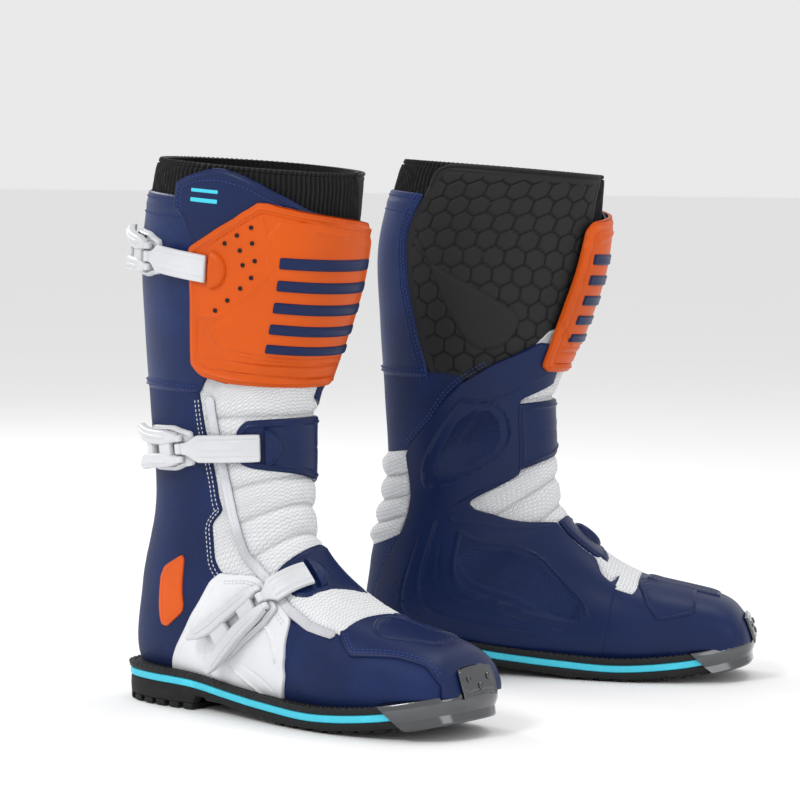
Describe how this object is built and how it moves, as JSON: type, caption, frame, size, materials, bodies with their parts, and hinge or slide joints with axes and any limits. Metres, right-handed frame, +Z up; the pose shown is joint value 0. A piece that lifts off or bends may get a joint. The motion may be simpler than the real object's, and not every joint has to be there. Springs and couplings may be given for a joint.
{
  "type": "pair of riding boots",
  "caption": "Pair of buckled off-road riding boots with padded shafts, shin plates, moulded guards, lug soles and steel toe guards.",
  "frame": {"origin": "on the floor under the middle of the pair's bounding box", "axes": "+X is the mean direction of the toes, +Y the wearer's left, +Z up; each boot turns out 15 degrees from +X"},
  "size_m": [0.4114, 0.4366, 0.4095],
  "materials": {
    "suede": "brushed leather",
    "leather": "satin grained leather",
    "navy_shell": "moulded, satin",
    "white_shell": "moulded, semi-gloss",
    "orange_shell": "moulded, satin",
    "white_mesh": "quilted mesh",
    "grip_panel": "textured grip panel",
    "elastic": "pleated elastic",
    "lining": "padded lining",
    "rubber": "moulded rubber",
    "stripe": "smooth foam rubber",
    "steel": "polished"
  },
  "bodies": {
    "right_foot": {"right_outsole": "rubber", "right_midsole": "stripe", "right_welt": "rubber", "right_footbed": "lining", "right_toe_guard": "steel", "right_toe_box": "suede", "right_heel_quarter": "suede", "right_ankle_panel": "white_shell", "right_inner_guard": "navy_shell", "right_instep_guard": "navy_shell", "right_low_buckle_base": "white_shell", "right_tongue": "white_mesh", "right_rear_bellows": "white_mesh", "right_liner": "lining"},
    "right_shaft": {"right_shaft_quarter": "suede", "right_inner_shaft_guard": "navy_shell", "right_mid_guard": "navy_shell", "right_calf_panel": "leather", "right_inner_calf_panel": "grip_panel", "right_collar": "elastic", "right_mid_buckle_base": "white_shell", "right_top_buckle_base": "white_shell"},
    "right_flap": {"right_cuff_tab": "navy_shell", "right_shin_plate": "orange_shell"},
    "right_top_strap_arm": {"right_top_strap": "white_shell"},
    "right_top_lever_arm": {"right_top_lever": "white_shell"},
    "right_mid_strap_arm": {"right_mid_strap": "white_shell"},
    "right_mid_lever_arm": {"right_mid_lever": "white_shell"},
    "right_low_strap_arm": {"right_low_strap": "white_shell"},
    "right_low_lever_arm": {"right_low_lever": "white_shell"},
    "left_foot": {"left_outsole": "rubber", "left_midsole": "stripe", "left_welt": "rubber", "left_footbed": "lining", "left_toe_guard": "steel", "left_toe_box": "suede", "left_heel_quarter": "suede", "left_ankle_panel": "white_shell", "left_inner_guard": "navy_shell", "left_instep_guard": "navy_shell", "left_low_buckle_base": "white_shell", "left_tongue": "white_mesh", "left_rear_bellows": "white_mesh", "left_liner": "lining"},
    "left_shaft": {"left_shaft_quarter": "suede", "left_inner_shaft_guard": "navy_shell", "left_mid_guard": "navy_shell", "left_calf_panel": "leather", "left_inner_calf_panel": "grip_panel", "left_collar": "elastic", "left_mid_buckle_base": "white_shell", "left_top_buckle_base": "white_shell"},
    "left_flap": {"left_cuff_tab": "navy_shell", "left_shin_plate": "orange_shell"},
    "left_top_strap_arm": {"left_top_strap": "white_shell"},
    "left_top_lever_arm": {"left_top_lever": "white_shell"},
    "left_mid_strap_arm": {"left_mid_strap": "white_shell"},
    "left_mid_lever_arm": {"left_mid_lever": "white_shell"},
    "left_low_strap_arm": {"left_low_strap": "white_shell"},
    "left_low_lever_arm": {"left_low_lever": "white_shell"}
  },
  "joints": [
    {"name": "right_ankle_flex", "type": "hinge", "parent": "right_foot", "child": "right_shaft", "pos_m": [-0.12798, -0.11914, 0.142], "axis": [0.2588, 0.9659, 0], "range_deg": [-8, 15], "stiffness_Nm_per_rad": 20, "deforming": ["right_tongue", "right_rear_bellows", "right_liner"]},
    {"name": "right_shin_flap_hinge", "type": "hinge", "parent": "right_shaft", "child": "right_flap", "pos_m": [-0.0486, -0.10185, 0.24548], "axis": [0.2531, -0.0031, 0.9674], "range_deg": [0, 35]},
    {"name": "right_top_strap_hinge", "type": "hinge", "parent": "right_flap", "child": "right_top_strap_arm", "pos_m": [-0.10576, -0.1952, 0.33025], "axis": [0.1106, -0.1194, 0.9867], "range_deg": [0, 50]},
    {"name": "right_top_lever_hinge", "type": "hinge", "parent": "right_top_strap_arm", "child": "right_top_lever_arm", "pos_m": [-0.16562, -0.17346, 0.33852], "axis": [0.0674, -0.0886, 0.9938], "range_deg": [0, 110]},
    {"name": "right_mid_strap_hinge", "type": "hinge", "parent": "right_shaft", "child": "right_mid_strap_arm", "pos_m": [-0.07422, -0.1683, 0.19919], "axis": [-0.0275, -0.0177, 0.9995], "range_deg": [0, 50]},
    {"name": "right_mid_lever_hinge", "type": "hinge", "parent": "right_mid_strap_arm", "child": "right_mid_lever_arm", "pos_m": [-0.14042, -0.17115, 0.19605], "axis": [-0.0879, -0.0486, 0.9949], "range_deg": [0, 110]},
    {"name": "right_low_strap_hinge", "type": "hinge", "parent": "right_foot", "child": "right_low_strap_arm", "pos_m": [-0.03529, -0.16664, 0.10869], "axis": [-0.6594, 0.362, 0.6589], "range_deg": [0, 50]},
    {"name": "right_low_lever_hinge", "type": "hinge", "parent": "right_low_strap_arm", "child": "right_low_lever_arm", "pos_m": [-0.0648, -0.18807, 0.09132], "axis": [-0.5849, 0.3517, 0.7309], "range_deg": [0, 110]},
    {"name": "left_ankle_flex", "type": "hinge", "parent": "left_foot", "child": "left_shaft", "pos_m": [-0.03198, 0.11914, 0.142], "axis": [-0.2588, 0.9659, 0], "range_deg": [-8, 15], "stiffness_Nm_per_rad": 20, "deforming": ["left_tongue", "left_rear_bellows", "left_liner"]},
    {"name": "left_shin_flap_hinge", "type": "hinge", "parent": "left_shaft", "child": "left_flap", "pos_m": [0.0474, 0.10185, 0.24548], "axis": [-0.2531, -0.0031, -0.9674], "range_deg": [0, 35]},
    {"name": "left_top_strap_hinge", "type": "hinge", "parent": "left_flap", "child": "left_top_strap_arm", "pos_m": [-0.00976, 0.1952, 0.33025], "axis": [-0.1106, -0.1194, -0.9867], "range_deg": [0, 50]},
    {"name": "left_top_lever_hinge", "type": "hinge", "parent": "left_top_strap_arm", "child": "left_top_lever_arm", "pos_m": [-0.06962, 0.17346, 0.33852], "axis": [-0.0674, -0.0886, -0.9938], "range_deg": [0, 110]},
    {"name": "left_mid_strap_hinge", "type": "hinge", "parent": "left_shaft", "child": "left_mid_strap_arm", "pos_m": [0.02178, 0.1683, 0.19919], "axis": [0.0275, -0.0177, -0.9995], "range_deg": [0, 50]},
    {"name": "left_mid_lever_hinge", "type": "hinge", "parent": "left_mid_strap_arm", "child": "left_mid_lever_arm", "pos_m": [-0.04442, 0.17115, 0.19605], "axis": [0.0879, -0.0486, -0.9949], "range_deg": [0, 110]},
    {"name": "left_low_strap_hinge", "type": "hinge", "parent": "left_foot", "child": "left_low_strap_arm", "pos_m": [0.06071, 0.16664, 0.10869], "axis": [0.6594, 0.362, -0.6589], "range_deg": [0, 50]},
    {"name": "left_low_lever_hinge", "type": "hinge", "parent": "left_low_strap_arm", "child": "left_low_lever_arm", "pos_m": [0.0312, 0.18807, 0.09132], "axis": [0.5849, 0.3517, -0.7309], "range_deg": [0, 110]},
    {"name": "left_boot_lift", "type": "slide", "parent": "right_foot", "child": "left_foot", "axis": [0, 0, 1], "range_m": [0, 0.12]}
  ]
}
